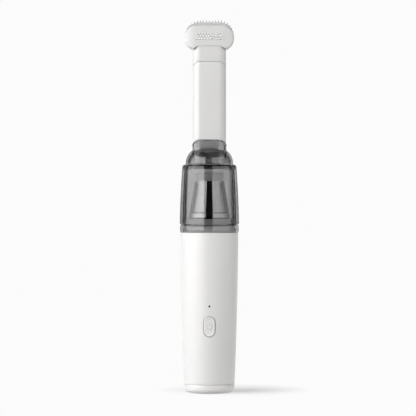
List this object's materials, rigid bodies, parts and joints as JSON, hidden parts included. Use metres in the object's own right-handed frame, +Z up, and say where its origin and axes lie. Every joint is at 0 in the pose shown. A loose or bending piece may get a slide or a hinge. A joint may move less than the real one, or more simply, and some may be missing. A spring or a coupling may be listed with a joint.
{
  "type": "handheld vacuum cleaner",
  "caption": "Slim upright handheld vacuum cleaner: round battery handle, smoky clear dust cup with cone filter, pull-off tube and a comb-edged brush head.",
  "frame": {"origin": "centre of the round base, on the surface it stands on", "axes": "+Z up along the body to the brush head, -Y the front with the power button, +X to the right seen from the front"},
  "size_m": [0.0592, 0.0592, 0.3729],
  "materials": {
    "white_shell": "satin moulded plastic",
    "white_comb": "soft satin plastic",
    "smoke_clear": "smoky clear polycarbonate",
    "smoke_cap": "grey gloss plastic",
    "black_plastic": "black moulded plastic",
    "filter_grey": "light grey plastic",
    "filter_screen": "fine woven screen",
    "filter_paper": "pleated filter paper",
    "seal_rubber": "black silicone",
    "pad_rubber": "grey rubber",
    "dark_lens": "dark lens",
    "steel": "plated steel",
    "nickel": "nickel strip",
    "bronze": "sintered bronze",
    "lamination": "laminated steel",
    "magnet": "ferrite",
    "fan_metal": "formed aluminium",
    "foam": "open foam",
    "board": "coated circuit board",
    "cell_wrap": "shrink wrap"
  },
  "bodies": {
    "handle": {"body_shell": "white_shell", "end_cap": "white_shell", "foot_pad": "pad_rubber", "end_cap_screws": "steel", "charge_board": "board", "usb_socket": "steel", "battery_cradle": "black_plastic", "battery_cells": "cell_wrap", "cell_tabs": "nickel", "control_board": "board", "button_switch": "black_plastic", "led_light_pipe": "dark_lens", "rear_mount": "pad_rubber", "front_mount": "pad_rubber", "motor_can": "steel", "motor_end_bell": "black_plastic", "motor_magnets": "magnet", "motor_bushes": "bronze", "motor_screws": "steel", "diffuser": "black_plastic", "fan_cover": "black_plastic", "fan_gasket": "pad_rubber", "exhaust_foam": "foam", "intake_collar": "white_shell"},
    "button": {"power_button": "white_shell"},
    "rotor": {"motor_shaft": "steel", "motor_armature": "lamination", "fan_impeller": "fan_metal"},
    "filter": {"filter_base": "filter_grey", "filter_seal": "seal_rubber", "filter_frame": "filter_grey", "filter_ribs": "black_plastic", "filter_mesh": "filter_screen", "filter_pleats": "filter_paper", "filter_cap": "smoke_cap"},
    "cup": {"dust_cup": "smoke_clear", "flap_pin": "steel"},
    "flap": {"inlet_flap": "seal_rubber"},
    "tube": {"nozzle_tube": "white_shell"},
    "head": {"brush_head": "white_shell", "comb_plate": "white_comb"}
  },
  "joints": [
    {"name": "cup_lift", "type": "slide", "parent": "handle", "child": "cup", "axis": [0, 0, 1], "range_m": [0, 0.045]},
    {"name": "tube_pull", "type": "slide", "parent": "cup", "child": "tube", "axis": [0, 0, 1], "range_m": [0, 0.025]},
    {"name": "head_pull", "type": "slide", "parent": "tube", "child": "head", "axis": [0, 0, 1], "range_m": [0, 0.018]},
    {"name": "flap_swing", "type": "hinge", "parent": "cup", "child": "flap", "pos_m": [0, 0.01375, 0.2283], "axis": [1, 0, 0], "range_deg": [0, 16], "stiffness_Nm_per_rad": 0.01},
    {"name": "filter_twist", "type": "hinge", "parent": "cup", "child": "filter", "pos_m": [0, 0, 0.166], "axis": [0, 0, 1], "range_deg": [0, 30]},
    {"name": "button_press", "type": "slide", "parent": "handle", "child": "button", "axis": [0, 1, 0], "range_m": [0, 0.0008], "stiffness_N_per_m": 600},
    {"name": "fan_spin", "type": "hinge", "parent": "handle", "child": "rotor", "pos_m": [0, 0, 0.11], "axis": [0, 0, 1], "continuous": true}
  ]
}
